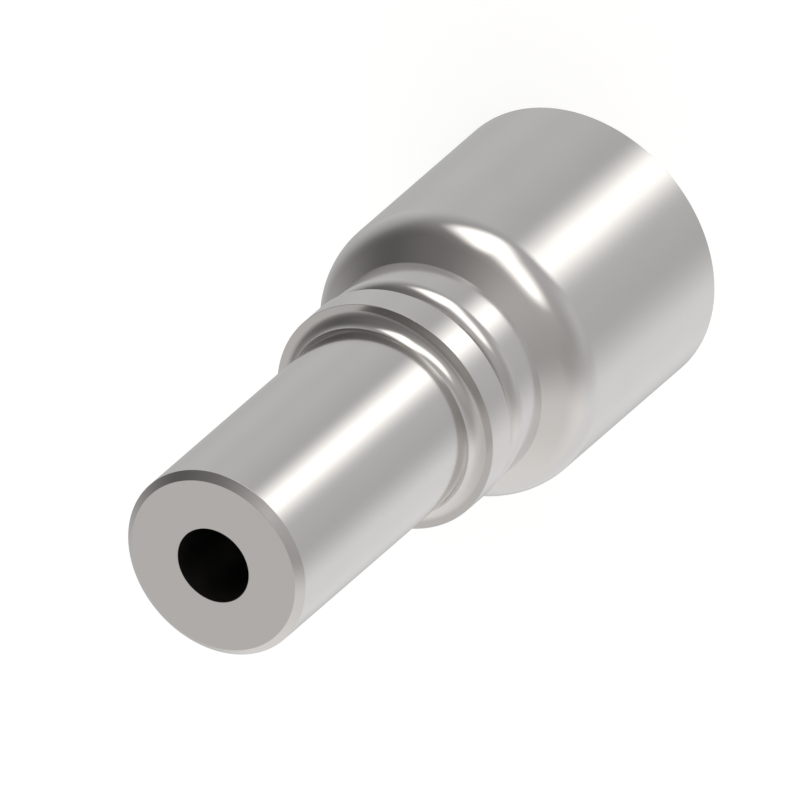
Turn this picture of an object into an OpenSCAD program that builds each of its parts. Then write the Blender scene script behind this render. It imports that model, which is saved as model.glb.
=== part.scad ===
// Straight crimp hose fitting: a plain tube stub with a collar, turned in one piece with a barbed
// hose tail, and a crimp shell that is held in a groove behind the collar.
// The fitting stands on the open mouth of its shell. The origin is the centre of that mouth, and
// +Z runs up the axis to the end of the stub. All sizes are in millimetres.

/* [Tube stub] */
// Outside diameter of the plain stub
stub_d = 12; // [10:0.5:14]
// Length of the stub, from its end face to the face of the collar
stub_len = 20.1; // [15:0.1:30]
// Bevel on the outer edge of the stub's end, at 45 degrees
stub_bevel = 0.45; // [0.2:0.05:0.8]
// Radius of the fillet where the stub meets the collar
root_round = 1.05; // [0.3:0.05:1.2]
// Diameter of the bore that runs through the whole nipple
bore_d = 4.8; // [3.6:0.1:5.6]

/* [Collar] */
// Height of the collar over the stub
collar_h = 1.3; // [1.25:0.05:2]
// Thickness of the collar along the axis
collar_w = 2.05; // [1.5:0.05:4]
// Open gap between the collar and the front of the shell
shell_gap = 0.75; // [0.3:0.05:1.5]

/* [Crimp shell outside] */
// Outside diameter of the shell's barrel
shell_d = 18.4; // [17.6:0.1:21]
// Length of the shell, from its front lip to its mouth
shell_len = 19.85; // [17:0.05:26]
// Outside diameter of the shell's neck
neck_d = 14.25; // [13:0.05:14.8]
// Length of the neck, from the front of the lip to the shoulder
neck_len = 3.2; // [2.4:0.05:4]
// Radius of the rounding on the front lip
lip_round = 1.05; // [0.4:0.05:1.4]
// Angle of the shoulder's cone to the axis, in degrees
shoulder_angle = 50; // [40:1:60]
// Radius of the rounding between the shoulder's cone and the barrel
shoulder_round = 2.7; // [1.5:0.1:3.2]

/* [Crimp shell inside] */
// Wall of the barrel, from the bottom of its grooves to the outside
shell_wall = 1.9; // [1.4:0.05:2.2]
// Wall of the neck, from the lip's bore to the outside
neck_wall = 2.1; // [1.7:0.05:2.4]
// Length that the lip's bore runs on behind the start of the shoulder
lip_over = 0.8; // [0.6:0.05:1.2]
// Height of the grip rings over the bottom of their grooves
ring_h = 0.5; // [0.2:0.05:0.8]
// Distance from one grip ring to the next
ring_pitch = 2.2; // [1.6:0.1:3]
// Flat on the top of each grip ring
ring_land = 0.3; // [0.1:0.05:0.6]
// Plain bore in the mouth, before the first grip ring
mouth_len = 1; // [0.8:0.1:2]
// Lead-in bevel in the mouth, at 45 degrees
mouth_bevel = 0.4; // [0.2:0.05:0.7]
// Plain bore kept between the last grip ring and the shoulder, at least
pocket_end = 1; // [0.5:0.1:2]

/* [Hose tail] */
// Wall of the tail between two barbs
tail_wall = 0.7; // [0.5:0.05:1]
// Height of the barbs over the tail
barb_h = 0.35; // [0.15:0.05:0.6]
// Distance from one barb to the next
barb_pitch = 2.1; // [1.5:0.1:3]
// Flat on the top of each barb
barb_land = 0.25; // [0.1:0.05:0.5]
// Wall at the very end of the tail
nose_wall = 0.4; // [0.3:0.05:0.5]
// Length of the taper at the end of the tail
nose_len = 0.8; // [0.5:0.1:1.5]
// Distance that the tail ends inside the shell's mouth
tail_setback = 1.1; // [0.5:0.1:2]
// Angle of the hose stop's cone to the axis, in degrees
stop_angle = 60; // [45:1:75]

/* [Shell seat] */
// Radial clearance between the lip's bore and the groove that it sits in
seat_clear = 0.03; // [0.02:0.01:0.1]
// Height of the locking ridge over the lip's bore
ridge_h = 0.6; // [0.3:0.05:0.8]
// Width of the locking ridge
ridge_w = 1; // [0.6:0.05:1.5]
// Radial clearance round the locking ridge, inside the shell
ridge_clear = 0.2; // [0.1:0.05:0.3]

/* [Hidden] */
// Fineness of the round surfaces
round_fn = 180;
// Length that a cut runs on past the face it opens
past = 1;
// Length that a buried end runs on inside its neighbour
tuck = 0.5;

// Radii of the nipple
bore_r = bore_d / 2;
stub_r = stub_d / 2;
collar_r = stub_r + collar_h;
tail_r = bore_r + tail_wall;
barb_r = tail_r + barb_h;
nose_r = bore_r + nose_wall;

// Radii of the shell, and of what holds it on the nipple
shell_r = shell_d / 2;
pocket_r = shell_r - shell_wall;
ring_r = pocket_r - ring_h;
neck_r = neck_d / 2;
lip_r = neck_r - neck_wall;
groove_r = lip_r - seat_clear;
ridge_r = lip_r + ridge_h;
recess_r = ridge_r + ridge_clear;

// Heights over the shell's mouth
collar_z = shell_len + shell_gap;
stub_z = collar_z + collar_w;
top_z = stub_z + stub_len;
neck_z = shell_len - neck_len;
seat_z = neck_z - lip_over;
ridge_z = seat_z - ridge_w;
stop_z = ridge_z - (ridge_r - tail_r) / tan(stop_angle);
pocket_z = seat_z - (pocket_r - recess_r) / tan(shoulder_angle);

// The shoulder's rounding touches the barrel at round_z, and the shoulder's cone at cone_z
round_r = shell_r - shoulder_round;
cone_r = round_r + shoulder_round * cos(shoulder_angle);
cone_z = neck_z - (cone_r - neck_r) / tan(shoulder_angle);
round_z = cone_z - shoulder_round * sin(shoulder_angle);
// The cone is drawn longer than it shows, so that its upper end is buried in the neck
cone_len = (cone_r - neck_r) / sin(shoulder_angle) + tuck;

// Barbs and grip rings fill the length that is there for them
barb_z = tail_setback + nose_len;
barb_count = floor((stop_z - barb_z) / barb_pitch);
ring_count = floor((pocket_z - pocket_end - mouth_len) / ring_pitch);

// Outline of the barbs: each rises slowly from the hose's side and drops back to the tail in one step
function barb_points() = [
    for (i = [0 : barb_count - 1])
    let (foot = barb_z + i * barb_pitch, top = foot + barb_pitch)
    each [[tail_r, foot], [barb_r, top - barb_land], [barb_r, top]]
];

// Outline of the grip rings: each rises slowly from the mouth's side and drops back in one step
function ring_points() = [
    for (i = [0 : ring_count - 1])
    let (foot = mouth_len + i * ring_pitch, top = foot + ring_pitch)
    each [[pocket_r, foot], [ring_r, top - ring_land], [ring_r, top]]
];

// Half section of the stub, with its bevel, and the fillet that joins it to the collar
module stub_section() {
    polygon([
        [0, stub_z], [stub_r, stub_z], [stub_r, top_z - stub_bevel],
        [stub_r - stub_bevel, top_z], [0, top_z]
    ]);
    difference() {
        translate([stub_r, stub_z])
            square(root_round);
        translate([stub_r + root_round, stub_z + root_round])
            circle(root_round, $fn = round_fn);
    }
}

// Half section of the collar, the groove for the shell, the locking ridge, the hose stop and the tail
module tail_section() {
    polygon(concat(
        [[0, tail_setback], [nose_r, tail_setback]],
        barb_points(),
        [
            [tail_r, barb_z + barb_count * barb_pitch], [tail_r, stop_z],
            [ridge_r, ridge_z], [ridge_r, seat_z],
            [groove_r, seat_z], [groove_r, collar_z],
            [collar_r, collar_z], [collar_r, stub_z], [0, stub_z]
        ]
    ));
}

// Half section of the shell's outside: the barrel, the rounding and the cone of its shoulder, and the
// neck with its rounded front lip
module shell_outside() {
    square([shell_r, round_z]);
    translate([round_r, round_z])
        rotate(shoulder_angle) {
            circle(shoulder_round, $fn = round_fn);
            square([shoulder_round, cone_len]);
        }
    square([neck_r, shell_len - lip_round]);
    square([neck_r - lip_round, shell_len]);
    translate([neck_r - lip_round, shell_len - lip_round])
        circle(lip_round, $fn = round_fn);
}

// Half section of the space inside the shell: the mouth, the ringed pocket and the lip's bore
module shell_inside() {
    polygon(concat(
        [[0, -past], [pocket_r + mouth_bevel + past, -past], [pocket_r, mouth_bevel]],
        ring_points(),
        [
            [pocket_r, mouth_len + ring_count * ring_pitch], [pocket_r, pocket_z],
            [recess_r, seat_z], [lip_r, seat_z],
            [lip_r, shell_len + past], [0, shell_len + past]
        ]
    ));
}

// The nipple, turned from one bar: stub, collar, shell groove and barbed tail, bored right through
module hose_nipple() {
    color("silver")
        difference() {
            rotate_extrude($fn = round_fn) {
                stub_section();
                tail_section();
            }
            translate([0, 0, tail_setback - past])
                cylinder(r = bore_r, h = top_z - tail_setback + 2 * past, $fn = round_fn);
        }
}

// The crimp shell, open at the mouth, with its lip in the nipple's groove and seated on the ridge
module crimp_shell() {
    color("lightgray")
        rotate_extrude($fn = round_fn)
            difference() {
                shell_outside();
                shell_inside();
            }
}

hose_nipple();
crimp_shell();
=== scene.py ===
"""Scene of a straight crimp hose fitting in bright turned stainless steel.

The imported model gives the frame. Two turned pieces stand in for its solids: the nipple, with its
tube stub, collar and barbed hose tail, and the crimp shell round that tail. The fitting stands on
the shell's open mouth with its axis on +Z. Scene lengths are metres, and sections are written in mm.
"""

import math

import bpy
from mathutils import Matrix, Vector


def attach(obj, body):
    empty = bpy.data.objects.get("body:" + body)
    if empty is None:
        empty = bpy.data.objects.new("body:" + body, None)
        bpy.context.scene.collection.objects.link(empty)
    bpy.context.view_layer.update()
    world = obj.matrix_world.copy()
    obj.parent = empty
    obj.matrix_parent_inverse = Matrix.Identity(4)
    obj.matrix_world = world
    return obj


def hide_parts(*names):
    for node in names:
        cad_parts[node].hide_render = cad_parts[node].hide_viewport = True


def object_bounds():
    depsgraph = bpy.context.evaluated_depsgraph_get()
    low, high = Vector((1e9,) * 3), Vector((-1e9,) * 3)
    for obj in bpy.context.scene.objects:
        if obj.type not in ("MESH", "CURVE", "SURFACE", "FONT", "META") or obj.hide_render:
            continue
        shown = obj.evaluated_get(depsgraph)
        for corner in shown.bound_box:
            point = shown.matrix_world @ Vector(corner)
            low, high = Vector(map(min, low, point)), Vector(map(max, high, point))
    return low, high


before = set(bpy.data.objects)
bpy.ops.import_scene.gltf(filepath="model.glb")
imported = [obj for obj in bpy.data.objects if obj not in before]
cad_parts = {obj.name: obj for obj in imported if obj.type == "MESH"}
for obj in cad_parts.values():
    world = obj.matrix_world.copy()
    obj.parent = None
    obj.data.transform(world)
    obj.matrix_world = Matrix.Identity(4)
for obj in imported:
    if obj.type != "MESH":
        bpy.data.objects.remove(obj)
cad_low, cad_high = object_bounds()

MM = 0.001


# Sizes of the fitting in mm, as its solids have them. Only the stub's bevel, the rounding at its root
# and the collar's face differ a little, as the reflections in the photo show them.

# Tube stub and collar
BORE_R = 2.4
STUB_R = 6.0
STUB_LENGTH = 20.1
# The bevel's width across the end face and its length along the stub
STUB_BEVEL = 0.47
STUB_BEVEL_LENGTH = 0.43
ROOT_ROUND = 0.9
COLLAR_HEIGHT = 1.3
COLLAR_WIDTH = 2.05
# The collar's face falls away 2 degrees. It would meet the stub this far over the solid's flat face,
# and its rim is this far under it.
COLLAR_RISE = 0.025
COLLAR_DROP = 0.02
SHELL_GAP = 0.75

# Crimp shell
SHELL_R = 9.2
SHELL_LENGTH = 19.85
SHELL_WALL = 1.9
NECK_R = 7.125
NECK_LENGTH = 3.2
NECK_WALL = 2.1
LIP_ROUND = 1.05
# Length that the lip's bore runs on behind the start of the shoulder
LIP_OVER = 0.8
SHOULDER_ANGLE = math.radians(50)
SHOULDER_ROUND = 2.7
RING_HEIGHT = 0.5
RING_PITCH = 2.2
RING_LAND = 0.3
RING_COUNT = 5
MOUTH_LENGTH = 1.0
MOUTH_BEVEL = 0.4

# Hose tail
TAIL_WALL = 0.7
TAIL_SETBACK = 1.1
BARB_HEIGHT = 0.35
BARB_PITCH = 2.1
BARB_LAND = 0.25
BARB_COUNT = 5
NOSE_WALL = 0.4
NOSE_LENGTH = 0.8
STOP_ANGLE = math.radians(60)

# Seat of the shell on the nipple
SEAT_CLEARANCE = 0.03
RIDGE_HEIGHT = 0.6
RIDGE_WIDTH = 1.0
RIDGE_CLEARANCE = 0.2

# Radii that follow from these sizes
COLLAR_R = STUB_R + COLLAR_HEIGHT
TAIL_R = BORE_R + TAIL_WALL
BARB_R = TAIL_R + BARB_HEIGHT
NOSE_R = BORE_R + NOSE_WALL
POCKET_R = SHELL_R - SHELL_WALL
RING_R = POCKET_R - RING_HEIGHT
LIP_R = NECK_R - NECK_WALL
GROOVE_R = LIP_R - SEAT_CLEARANCE
RIDGE_R = LIP_R + RIDGE_HEIGHT
RECESS_R = RIDGE_R + RIDGE_CLEARANCE

# Heights over the shell's mouth that follow from these sizes
COLLAR_Z = SHELL_LENGTH + SHELL_GAP
STUB_Z = COLLAR_Z + COLLAR_WIDTH
TOP_Z = STUB_Z + STUB_LENGTH
NECK_Z = SHELL_LENGTH - NECK_LENGTH
SEAT_Z = NECK_Z - LIP_OVER
RIDGE_Z = SEAT_Z - RIDGE_WIDTH
STOP_Z = RIDGE_Z - (RIDGE_R - TAIL_R) / math.tan(STOP_ANGLE)
POCKET_Z = SEAT_Z - (POCKET_R - RECESS_R) / math.tan(SHOULDER_ANGLE)
BARB_Z = TAIL_SETBACK + NOSE_LENGTH


# Camera

# Angle between the view and the fitting's axis, which comes towards the camera with the stub first
VIEW_OFF_AXIS = math.radians(41.43)
# Turn of the camera about its own view, which puts the stub's end at the lower left
CAMERA_ROLL = math.radians(-130.89)
# Width of the square picture, and how far right and up of its middle the centre of the stub's end is
PICTURE_WIDTH = 46.83 * MM
STUB_END_RIGHT = -10.937 * MM
STUB_END_UP = -9.684 * MM
# How far the camera stands off, and the nearest and farthest things that it sees
CAMERA_DISTANCE = 400 * MM
NEAREST_SEEN = 10 * MM
FARTHEST_SEEN = 10000 * MM


def add_camera():
    """A camera with no perspective, placed by where it shows the centre of the stub's end."""
    turned = Matrix.Rotation(VIEW_OFF_AXIS, 4, "X") @ Matrix.Rotation(CAMERA_ROLL, 4, "Z")
    stub_end = Vector((0, 0, cad_high.z))
    offset = Vector((-STUB_END_RIGHT, -STUB_END_UP, CAMERA_DISTANCE))
    data = bpy.data.cameras.new("camera")
    data.type = "ORTHO"
    data.ortho_scale = PICTURE_WIDTH
    data.clip_start = NEAREST_SEEN
    data.clip_end = FARTHEST_SEEN
    camera = bpy.data.objects.new("camera", data)
    bpy.context.collection.objects.link(camera)
    camera.matrix_world = Matrix.Translation(stub_end + turned.to_3x3() @ offset) @ turned
    bpy.context.scene.camera = camera


# Colours and nodes

WHITE = "#FFFFFF"
# Sockets of a Mix node that mixes two colours, whose names other sockets of the node have too
COLOUR_A = 6
COLOUR_B = 7
COLOUR_RESULT = 2


def linear(hex_colour):
    """An sRGB colour such as #CECBC7 as the linear RGBA that the nodes take."""
    channels = [int(hex_colour[i:i + 2], 16) / 255 for i in (1, 3, 5)]
    flat = [c / 12.92 if c <= 0.04045 else ((c + 0.055) / 1.055) ** 2.4 for c in channels]
    return (*flat, 1.0)


def add_node(tree, kind, settings=None, inputs=None):
    """Adds a node. Settings are its properties; inputs are values, or sockets to link from."""
    node = tree.nodes.new(kind)
    for name, value in (settings or {}).items():
        setattr(node, name, value)
    for name, value in (inputs or {}).items():
        if isinstance(value, bpy.types.NodeSocket):
            tree.links.new(value, node.inputs[name])
        else:
            node.inputs[name].default_value = value
    return node


# Studio

# Brightness of the studio where nothing else stands, and its slow change along X, Y and Z
AMBIENT = 0.69
AMBIENT_SLOPE = (0.11, -0.12, 0.15)
# The pale wall on the -X side: its level, and for each of its two upright edges the azimuth and
# elevation of the side that the wall is on, and the edge's softness
WALL_LEVEL = 0.4
WALL_EDGES = (
    # Front edge
    (-165, 1, 0.57),
    # Rear edge
    (-80, 10, 0.56),
)
# Wide soft patches that add to the ambient or take from it: azimuth, elevation, the angles from
# there at which the patch is full and at which it is gone, and its level
PATCHES = (
    # The dark side of the studio, towards +X
    (93, 39, 14, 99, -0.69),
    # High over the pale wall
    (-100, 57, 5, 64, -0.36),
    # In front, a little towards +X and below the level of the fitting
    (27, -14, 17, 55, -0.23),
    # In front, a little towards the wall and above that level
    (-31, 16, 8, 52, -0.3),
    # Faint light low down on the dark side
    (112, -25, 10, 34, 0.13),
    # Faint light behind and above
    (169, 38, 6, 19, 0.17),
)
# Softboxes: azimuth, elevation, turn, half width, half height and soft edge, the last three as
# tangents of angles seen from the object
SOFTBOX_LEVEL = 2.2
SOFTBOXES = (
    # The long one in front
    (24, 12, -36, 0.71, 0.23, 0.5),
    # Beside it, further towards +X
    (41, 1, 34, 0.36, 0.37, 0.39),
    # The small one below, which gives the streak along the stub, the neck and the barrel
    (8, -48, -31, 0.15, 0.15, 0.39),
)
# A ray meets a softbox only where it points at least this much towards the softbox's middle
TOWARDS_SOFTBOX = 0.01
# The softboxes are a little warm. The rest is neutral low down and turns slightly warm higher up,
# between these two heights of a ray.
SOFTBOX_COLOUR = "#FFFBF6"
LOW_COLOUR = WHITE
HIGH_COLOUR = "#FFFCFA"
COLOUR_TURNS = (-0.5, 0.3)


def direction(azimuth, elevation):
    """Unit vector from the object; azimuth 0 is towards -Y and 90 towards +X, in degrees."""
    a = math.radians(azimuth)
    e = math.radians(elevation)
    return Vector((math.sin(a) * math.cos(e), -math.cos(a) * math.cos(e), math.sin(e)))


def pale_wall(tree, ray):
    """Level that the pale wall adds, which is none beside it and fades in over its soft edges."""
    level = WALL_LEVEL
    for azimuth, elevation, soft in WALL_EDGES:
        inside = add_node(tree, "ShaderNodeVectorMath", {"operation": "DOT_PRODUCT"},
                          {0: ray, 1: direction(azimuth, elevation)})
        edge = add_node(tree, "ShaderNodeMapRange", {"interpolation_type": "SMOOTHSTEP"}, {
            "Value": inside.outputs["Value"], "From Min": -soft / 2, "From Max": soft / 2})
        level = add_node(tree, "ShaderNodeMath", {"operation": "MULTIPLY"},
                         {0: level, 1: edge.outputs["Result"]}).outputs[0]
    return level


def soft_patch(tree, ray, azimuth, elevation, full, gone, amount):
    """Level that one wide patch adds: all of its amount near its middle, and none far from it."""
    near = add_node(tree, "ShaderNodeVectorMath", {"operation": "DOT_PRODUCT"},
                    {0: ray, 1: direction(azimuth, elevation)})
    angle = add_node(tree, "ShaderNodeMath", {"operation": "ARCCOSINE"},
                     {0: near.outputs["Value"]})
    return add_node(tree, "ShaderNodeMapRange", {"interpolation_type": "SMOOTHSTEP"}, {
        "Value": angle.outputs[0], "From Min": math.radians(full), "From Max": math.radians(gone),
        "To Min": amount, "To Max": 0.0}).outputs["Result"]


def softbox(tree, ray, azimuth, elevation, turn, half_width, half_height, soft):
    """Mask of one soft-edged rectangular softbox, from 0 outside it to 1 on it."""
    facing = direction(azimuth, elevation)
    side = direction(azimuth + 90, 0)
    rise = facing.cross(side)
    t = math.radians(turn)
    across = math.cos(t) * side + math.sin(t) * rise
    along = -math.sin(t) * side + math.cos(t) * rise
    x, y, z = [add_node(tree, "ShaderNodeVectorMath", {"operation": "DOT_PRODUCT"},
                        {0: ray, 1: axis}).outputs["Value"] for axis in (across, along, facing)]
    masks = []
    for offset, half in ((x, half_width), (y, half_height)):
        slope = add_node(tree, "ShaderNodeMath", {"operation": "DIVIDE"}, {0: offset, 1: z})
        size = add_node(tree, "ShaderNodeMath", {"operation": "ABSOLUTE"}, {0: slope.outputs[0]})
        fade = add_node(tree, "ShaderNodeMapRange", {"interpolation_type": "SMOOTHSTEP"}, {
            "Value": size.outputs[0], "From Min": half - soft / 2, "From Max": half + soft / 2,
            "To Min": 1.0, "To Max": 0.0})
        masks.append(fade.outputs["Result"])
    front = add_node(tree, "ShaderNodeMath", {"operation": "GREATER_THAN"},
                     {0: z, 1: TOWARDS_SOFTBOX})
    both = add_node(tree, "ShaderNodeMath", {"operation": "MULTIPLY"}, {0: masks[0], 1: masks[1]})
    return add_node(tree, "ShaderNodeMath", {"operation": "MULTIPLY"},
                    {0: both.outputs[0], 1: front.outputs[0]}).outputs[0]


def add_studio():
    """The soft studio round the fitting, which the steel reflects, and plain white for the camera.

    The steel isn't shown that white, since flat white all round would leave it without form.
    """
    world = bpy.data.worlds.new("soft_studio")
    world.use_nodes = True
    bpy.context.scene.world = world
    tree = world.node_tree
    tree.nodes.clear()
    ray = add_node(tree, "ShaderNodeTexCoord").outputs["Generated"]
    slope = add_node(tree, "ShaderNodeVectorMath", {"operation": "DOT_PRODUCT"},
                     {0: ray, 1: AMBIENT_SLOPE})
    level = add_node(tree, "ShaderNodeMath", {"operation": "ADD"},
                     {0: slope.outputs["Value"], 1: AMBIENT}).outputs[0]
    for part in [pale_wall(tree, ray)] + [soft_patch(tree, ray, *patch) for patch in PATCHES]:
        level = add_node(tree, "ShaderNodeMath", {"operation": "ADD"}, {0: level, 1: part}).outputs[0]
    lamps = 0.0
    for box in SOFTBOXES:
        lamps = add_node(tree, "ShaderNodeMath", {"operation": "MAXIMUM"},
                         {0: lamps, 1: softbox(tree, ray, *box)}).outputs[0]
    lit = add_node(tree, "ShaderNodeMix", {"data_type": "FLOAT"},
                   {"Factor": lamps, "A": level, "B": SOFTBOX_LEVEL})
    height = add_node(tree, "ShaderNodeSeparateXYZ", None, {0: ray}).outputs["Z"]
    rise = add_node(tree, "ShaderNodeMapRange", {"interpolation_type": "SMOOTHSTEP"}, {
        "Value": height, "From Min": COLOUR_TURNS[0], "From Max": COLOUR_TURNS[1]})
    surround = add_node(tree, "ShaderNodeMix", {"data_type": "RGBA"}, {
        "Factor": rise.outputs["Result"], COLOUR_A: linear(LOW_COLOUR),
        COLOUR_B: linear(HIGH_COLOUR)})
    colour = add_node(tree, "ShaderNodeMix", {"data_type": "RGBA"}, {
        "Factor": lamps, COLOUR_A: surround.outputs[COLOUR_RESULT],
        COLOUR_B: linear(SOFTBOX_COLOUR)})
    studio = add_node(tree, "ShaderNodeBackground", None, {
        "Color": colour.outputs[COLOUR_RESULT], "Strength": lit.outputs["Result"]})
    white = add_node(tree, "ShaderNodeBackground", None, {"Color": linear(WHITE), "Strength": 1.0})
    seen = add_node(tree, "ShaderNodeLightPath").outputs["Is Camera Ray"]
    mixed = add_node(tree, "ShaderNodeMixShader", None,
                     {0: seen, 1: studio.outputs[0], 2: white.outputs[0]})
    add_node(tree, "ShaderNodeOutputWorld", None, {"Surface": mixed.outputs[0]})
    bpy.context.scene.view_settings.view_transform = "Standard"


# Floor

# The floor gives back this share of the light by scattering, which holds the shadow. The rest of its
# white is its own, for the camera only.
FLOOR_COLOUR = "#B0B0B0"
FLOOR_GLOW = 0.80
FLOOR_SIZE = 3000 * MM


def add_floor():
    """The plain pale floor. The steel doesn't mirror it, so that it shows the studio all round."""
    bpy.ops.object.select_all(action="DESELECT")
    bpy.ops.mesh.primitive_plane_add(size=FLOOR_SIZE)
    floor = bpy.context.object
    floor.name = "floor"
    floor.visible_glossy = False
    material = bpy.data.materials.new("matt_white_paper")
    material.use_nodes = True
    tree = material.node_tree
    tree.nodes.clear()
    paper = add_node(tree, "ShaderNodeBsdfDiffuse", None, {"Color": linear(FLOOR_COLOUR)})
    seen = add_node(tree, "ShaderNodeLightPath").outputs["Is Camera Ray"]
    glow = add_node(tree, "ShaderNodeMath", {"operation": "MULTIPLY"}, {0: seen, 1: FLOOR_GLOW})
    own = add_node(tree, "ShaderNodeEmission", None,
                   {"Color": linear(WHITE), "Strength": glow.outputs[0]})
    total = add_node(tree, "ShaderNodeAddShader", None, {0: paper.outputs[0], 1: own.outputs[0]})
    add_node(tree, "ShaderNodeOutputMaterial", None, {"Surface": total.outputs[0]})
    floor.data.materials.append(material)


# Turned steel

# Spacing and depth of the fine rings that the turning tool leaves
TOOL_RING_SPACING = 0.12 * MM
TOOL_RING_DEPTH = 0.0002 * MM
# Size of the slow patches in the finish
PATCH_SIZE = 4 * MM
# The finish is rings times patches, each from 0 to 1. It is smoothest at the first of these values
# and roughest at the second.
SMOOTHEST_AT = 0.1
ROUGHEST_AT = 0.4
# The drilled steel, with its rougher finish and the painted shade in its colour, reaches this far
# over the bore's radius, so that all of the bore is in it
DRILLED_OVER = 0.01
DRILLED_AND_SHADED_WITHIN = (BORE_R + DRILLED_OVER) * MM
# Darker colour of the bore's wall: painted shade that stands in for the shadow inside the bore
BORE_PAINTED_SHADE_COLOUR = "#B5B3B1"
DRILLED_ROUGHNESS = 0.26


def turned_steel(name, bright, dull, smooth, rough):
    """Stainless steel turned on a lathe and washed, with fine rings round the axis.

    The rings run along the outline, so they show as rings on the faces and round the cylinders.
    They catch the light as faint lines, and slow patches change the gloss a little. Inside the bore
    the drill leaves a rougher finish, and the bore's colour is made darker, a painted shade so that
    the bore looks dark.
    """
    material = bpy.data.materials.new(name)
    material.use_nodes = True
    tree = material.node_tree
    tree.nodes.clear()
    place = add_node(tree, "ShaderNodeTexCoord").outputs["Object"]
    height = add_node(tree, "ShaderNodeSeparateXYZ", None, {0: place}).outputs["Z"]
    flat = add_node(tree, "ShaderNodeVectorMath", {"operation": "MULTIPLY"}, {0: place, 1: (1, 1, 0)})
    radius = add_node(tree, "ShaderNodeVectorMath", {"operation": "LENGTH"}, {0: flat.outputs[0]})
    outline = add_node(tree, "ShaderNodeMath", {"operation": "SUBTRACT"},
                       {0: height, 1: radius.outputs["Value"]})
    rings = add_node(tree, "ShaderNodeTexNoise", {"noise_dimensions": "1D"},
                     {"W": outline.outputs[0], "Scale": 1 / TOOL_RING_SPACING, "Detail": 1.0})
    patches = add_node(tree, "ShaderNodeTexNoise", None,
                       {"Vector": place, "Scale": 1 / PATCH_SIZE, "Detail": 2.0})
    finish = add_node(tree, "ShaderNodeMath", {"operation": "MULTIPLY"},
                      {0: rings.outputs[0], 1: patches.outputs[0]})
    gloss = add_node(tree, "ShaderNodeMapRange", None, {
        "Value": finish.outputs[0], "From Min": SMOOTHEST_AT, "From Max": ROUGHEST_AT,
        "To Min": smooth, "To Max": rough})
    # Mask of the bore, which gets the rougher drilled finish and also the painted shade in its colour
    drilled_and_painted_shade = add_node(tree, "ShaderNodeMath", {"operation": "LESS_THAN"},
                       {0: radius.outputs["Value"], 1: DRILLED_AND_SHADED_WITHIN}).outputs[0]
    roughness = add_node(tree, "ShaderNodeMix", {"data_type": "FLOAT"}, {
        "Factor": drilled_and_painted_shade, "A": gloss.outputs["Result"], "B": DRILLED_ROUGHNESS})
    turned = add_node(tree, "ShaderNodeMix", {"data_type": "RGBA"}, {
        "Factor": patches.outputs[0], COLOUR_A: linear(bright), COLOUR_B: linear(dull)})
    # Painted shade: inside the bore the colour turns to the darker bore colour
    colour = add_node(tree, "ShaderNodeMix", {"data_type": "RGBA"}, {
        "Factor": drilled_and_painted_shade, COLOUR_A: turned.outputs[COLOUR_RESULT],
        COLOUR_B: linear(BORE_PAINTED_SHADE_COLOUR)})
    bump = add_node(tree, "ShaderNodeBump", None,
                    {"Height": rings.outputs[0], "Distance": TOOL_RING_DEPTH, "Strength": 1.0})
    steel = add_node(tree, "ShaderNodeBsdfPrincipled", None, {
        "Base Color": colour.outputs[COLOUR_RESULT], "Metallic": 1.0,
        "Roughness": roughness.outputs["Result"], "Normal": bump.outputs[0]})
    add_node(tree, "ShaderNodeOutputMaterial", None, {"Surface": steel.outputs[0]})
    return material


# Half sections

# Rounding in mm of an edge that the solids have sharp, so that it catches light as a real one does
EDGE = 0.015


def barbs():
    """The barbs from the last to the first, each a step out and a slow fall back to the tail."""
    section = []
    for i in reversed(range(BARB_COUNT)):
        top = BARB_Z + (i + 1) * BARB_PITCH
        section += [(TAIL_R, top, EDGE), (BARB_R, top, EDGE), (BARB_R, top - BARB_LAND, EDGE)]
    return section


def grip_rings():
    """The grip rings from the mouth's side on, each a slow rise and a step back."""
    section = []
    for i in range(RING_COUNT):
        foot = MOUTH_LENGTH + i * RING_PITCH
        top = foot + RING_PITCH
        section += [(POCKET_R, foot, EDGE), (RING_R, top - RING_LAND, EDGE), (RING_R, top, EDGE)]
    section += [(POCKET_R, MOUTH_LENGTH + RING_COUNT * RING_PITCH, EDGE)]
    return section


def nipple_section():
    """Out over the stub's end, down its side and the collar, then down the tail and up the bore."""
    return [
        (BORE_R, TOP_Z, EDGE),
        (STUB_R - STUB_BEVEL, TOP_Z, EDGE),
        (STUB_R, TOP_Z - STUB_BEVEL_LENGTH, EDGE),
        (STUB_R, STUB_Z + COLLAR_RISE, ROOT_ROUND),
        (COLLAR_R, STUB_Z - COLLAR_DROP, EDGE),
        (COLLAR_R, COLLAR_Z, EDGE),
        (GROOVE_R, COLLAR_Z, EDGE),
        (GROOVE_R, SEAT_Z, EDGE),
        (RIDGE_R, SEAT_Z, EDGE),
        (RIDGE_R, RIDGE_Z, EDGE),
        (TAIL_R, STOP_Z, EDGE),
        *barbs(),
        (TAIL_R, BARB_Z, EDGE),
        (NOSE_R, TAIL_SETBACK, EDGE),
        (BORE_R, TAIL_SETBACK, EDGE),
    ]


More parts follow.
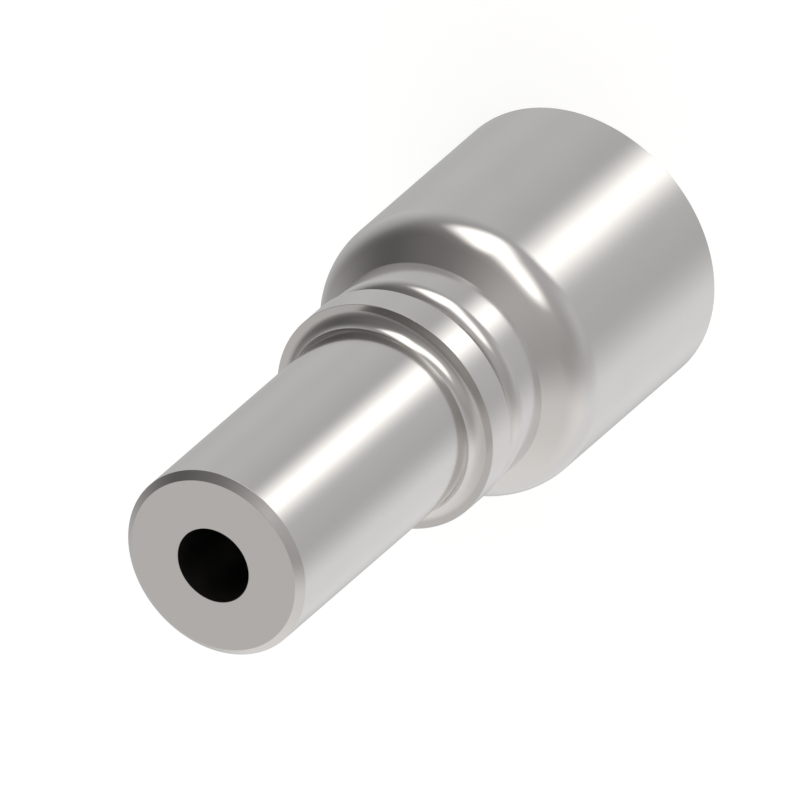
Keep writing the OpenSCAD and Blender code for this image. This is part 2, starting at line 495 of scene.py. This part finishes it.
def shell_section():
    """Up the inside from the mouth to the lip, then down over the neck, the shoulder and barrel."""
    # The shoulder's cone and the barrel would meet in a sharp corner, which the rounding takes off
    cone_r = SHELL_R - SHOULDER_ROUND * (1 - math.cos(SHOULDER_ANGLE))
    cone_z = NECK_Z - (cone_r - NECK_R) / math.tan(SHOULDER_ANGLE)
    corner_z = cone_z - (SHELL_R - cone_r) / math.tan(SHOULDER_ANGLE)
    return [
        (POCKET_R + MOUTH_BEVEL, 0, EDGE),
        (POCKET_R, MOUTH_BEVEL, EDGE),
        *grip_rings(),
        (POCKET_R, POCKET_Z, EDGE),
        (RECESS_R, SEAT_Z, EDGE),
        (LIP_R, SEAT_Z, EDGE),
        (LIP_R, SHELL_LENGTH, EDGE),
        (NECK_R, SHELL_LENGTH, LIP_ROUND),
        (NECK_R, NECK_Z, 0),
        (SHELL_R, corner_z, SHOULDER_ROUND),
        (SHELL_R, 0, EDGE),
    ]


# Turning

# Steps of the full turn
TURN_STEPS = 256
# Angle of one step of a large rounding and of an edge's, and the fewest steps of either
ROUND_STEP = math.radians(5)
EDGE_STEP = math.radians(25)
MIN_ROUND_STEPS = 3
# Distance in mm from a rounding at which the straight run beside it gets a vertex, so that smooth
# shading stops there, and the angle up to which shading is smooth
SUPPORT = 0.03
SMOOTH_ANGLE = math.radians(32)
# Vertices closer than this are one, which closes the half section and the full turn
MERGE = 0.0005 * MM


def rounding(before, corner, after, size):
    """Where a corner's rounding starts, its centre, and the angle that it turns through."""
    back = (before - corner).normalized()
    on = (after - corner).normalized()
    half = back.angle(on) / 2
    start = corner + back * size / math.tan(half)
    centre = corner + (back + on).normalized() * size / math.sin(half)
    turn = math.pi - 2 * half
    if back.x * on.y - back.y * on.x > 0:
        turn = -turn
    return start, centre, turn


def draw_run(run):
    """Extrudes the chosen vertex along a straight run, with a support near both of its ends."""
    share = SUPPORT / run.length
    for part in (share, 1 - 2 * share, share):
        move = run * part * MM
        bpy.ops.mesh.extrude_vertices_move(TRANSFORM_OT_translate={"value": (move.x, 0, move.y)})


def draw_rounding(centre, turn, size):
    """Extrudes the chosen vertex round the rounding's centre."""
    step = ROUND_STEP if size > EDGE else EDGE_STEP
    steps = max(MIN_ROUND_STEPS, round(abs(turn) / step))
    bpy.ops.mesh.spin(steps=steps, angle=turn, center=(centre.x * MM, 0, centre.y * MM),
                      axis=(0, 1, 0))


def turn_piece(name, section):
    """Draws a closed half section, corner by corner, and turns it round the axis.

    Each corner is its radius, its height and the size of its rounding, in mm.
    """
    bpy.ops.object.select_all(action="DESELECT")
    bpy.ops.mesh.primitive_plane_add(size=MM)
    piece = bpy.context.object
    piece.name = name
    bpy.ops.object.mode_set(mode="EDIT")
    bpy.ops.mesh.select_all(action="SELECT")
    bpy.ops.mesh.merge(type="CENTER")
    corners = [Vector(corner[:2]) for corner in section]
    pen = None
    # The last round of the loop only draws the run back to the first corner
    for i in range(len(corners) + 1):
        here = i % len(corners)
        corner = corners[here]
        size = section[here][2]
        start, centre, turn = corner, corner, 0.0
        if size:
            start, centre, turn = rounding(corners[here - 1], corner,
                                           corners[(here + 1) % len(corners)], size)
        if pen is None:
            bpy.ops.transform.translate(value=(start.x * MM, 0, start.y * MM))
        else:
            draw_run(start - pen)
        pen = start
        if size and i < len(corners):
            draw_rounding(centre, turn, size)
            pen = centre + Matrix.Rotation(turn, 2) @ (start - centre)
    bpy.ops.mesh.select_all(action="SELECT")
    bpy.ops.mesh.remove_doubles(threshold=MERGE)
    bpy.ops.object.mode_set(mode="OBJECT")
    bpy.ops.object.modifier_add(type="SCREW")
    full_turn = piece.modifiers[-1]
    full_turn.axis = "Z"
    full_turn.angle = 2 * math.pi
    full_turn.steps = TURN_STEPS
    full_turn.render_steps = TURN_STEPS
    full_turn.use_merge_vertices = True
    full_turn.merge_threshold = MERGE
    bpy.ops.object.modifier_apply(modifier=full_turn.name)
    bpy.ops.object.mode_set(mode="EDIT")
    bpy.ops.mesh.select_all(action="SELECT")
    bpy.ops.mesh.normals_make_consistent(inside=False)
    bpy.ops.object.mode_set(mode="OBJECT")
    bpy.ops.object.shade_smooth_by_angle(angle=SMOOTH_ANGLE)
    return piece


def finish_piece(piece, material, node):
    """Gives a piece its steel, seats it on the frame and hides the solid that it stands for."""
    piece.data.materials.append(material)
    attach(piece, "root")
    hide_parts(node)


add_camera()
add_studio()
add_floor()

nipple_steel = turned_steel("turned_stainless_steel_nipple", bright="#D8D6D4", dull="#D5D3D1",
                            smooth=0.11, rough=0.15)
nipple = turn_piece("steel_nipple", nipple_section())
finish_piece(nipple, nipple_steel, "hose_nipple")

# The shell's steel is a touch duller and rougher than the nipple's
shell_steel = turned_steel("turned_stainless_steel_shell", bright="#D8D6D4", dull="#D4D2D0",
                           smooth=0.12, rough=0.17)
shell = turn_piece("steel_crimp_shell", shell_section())
finish_piece(shell, shell_steel, "crimp_shell")
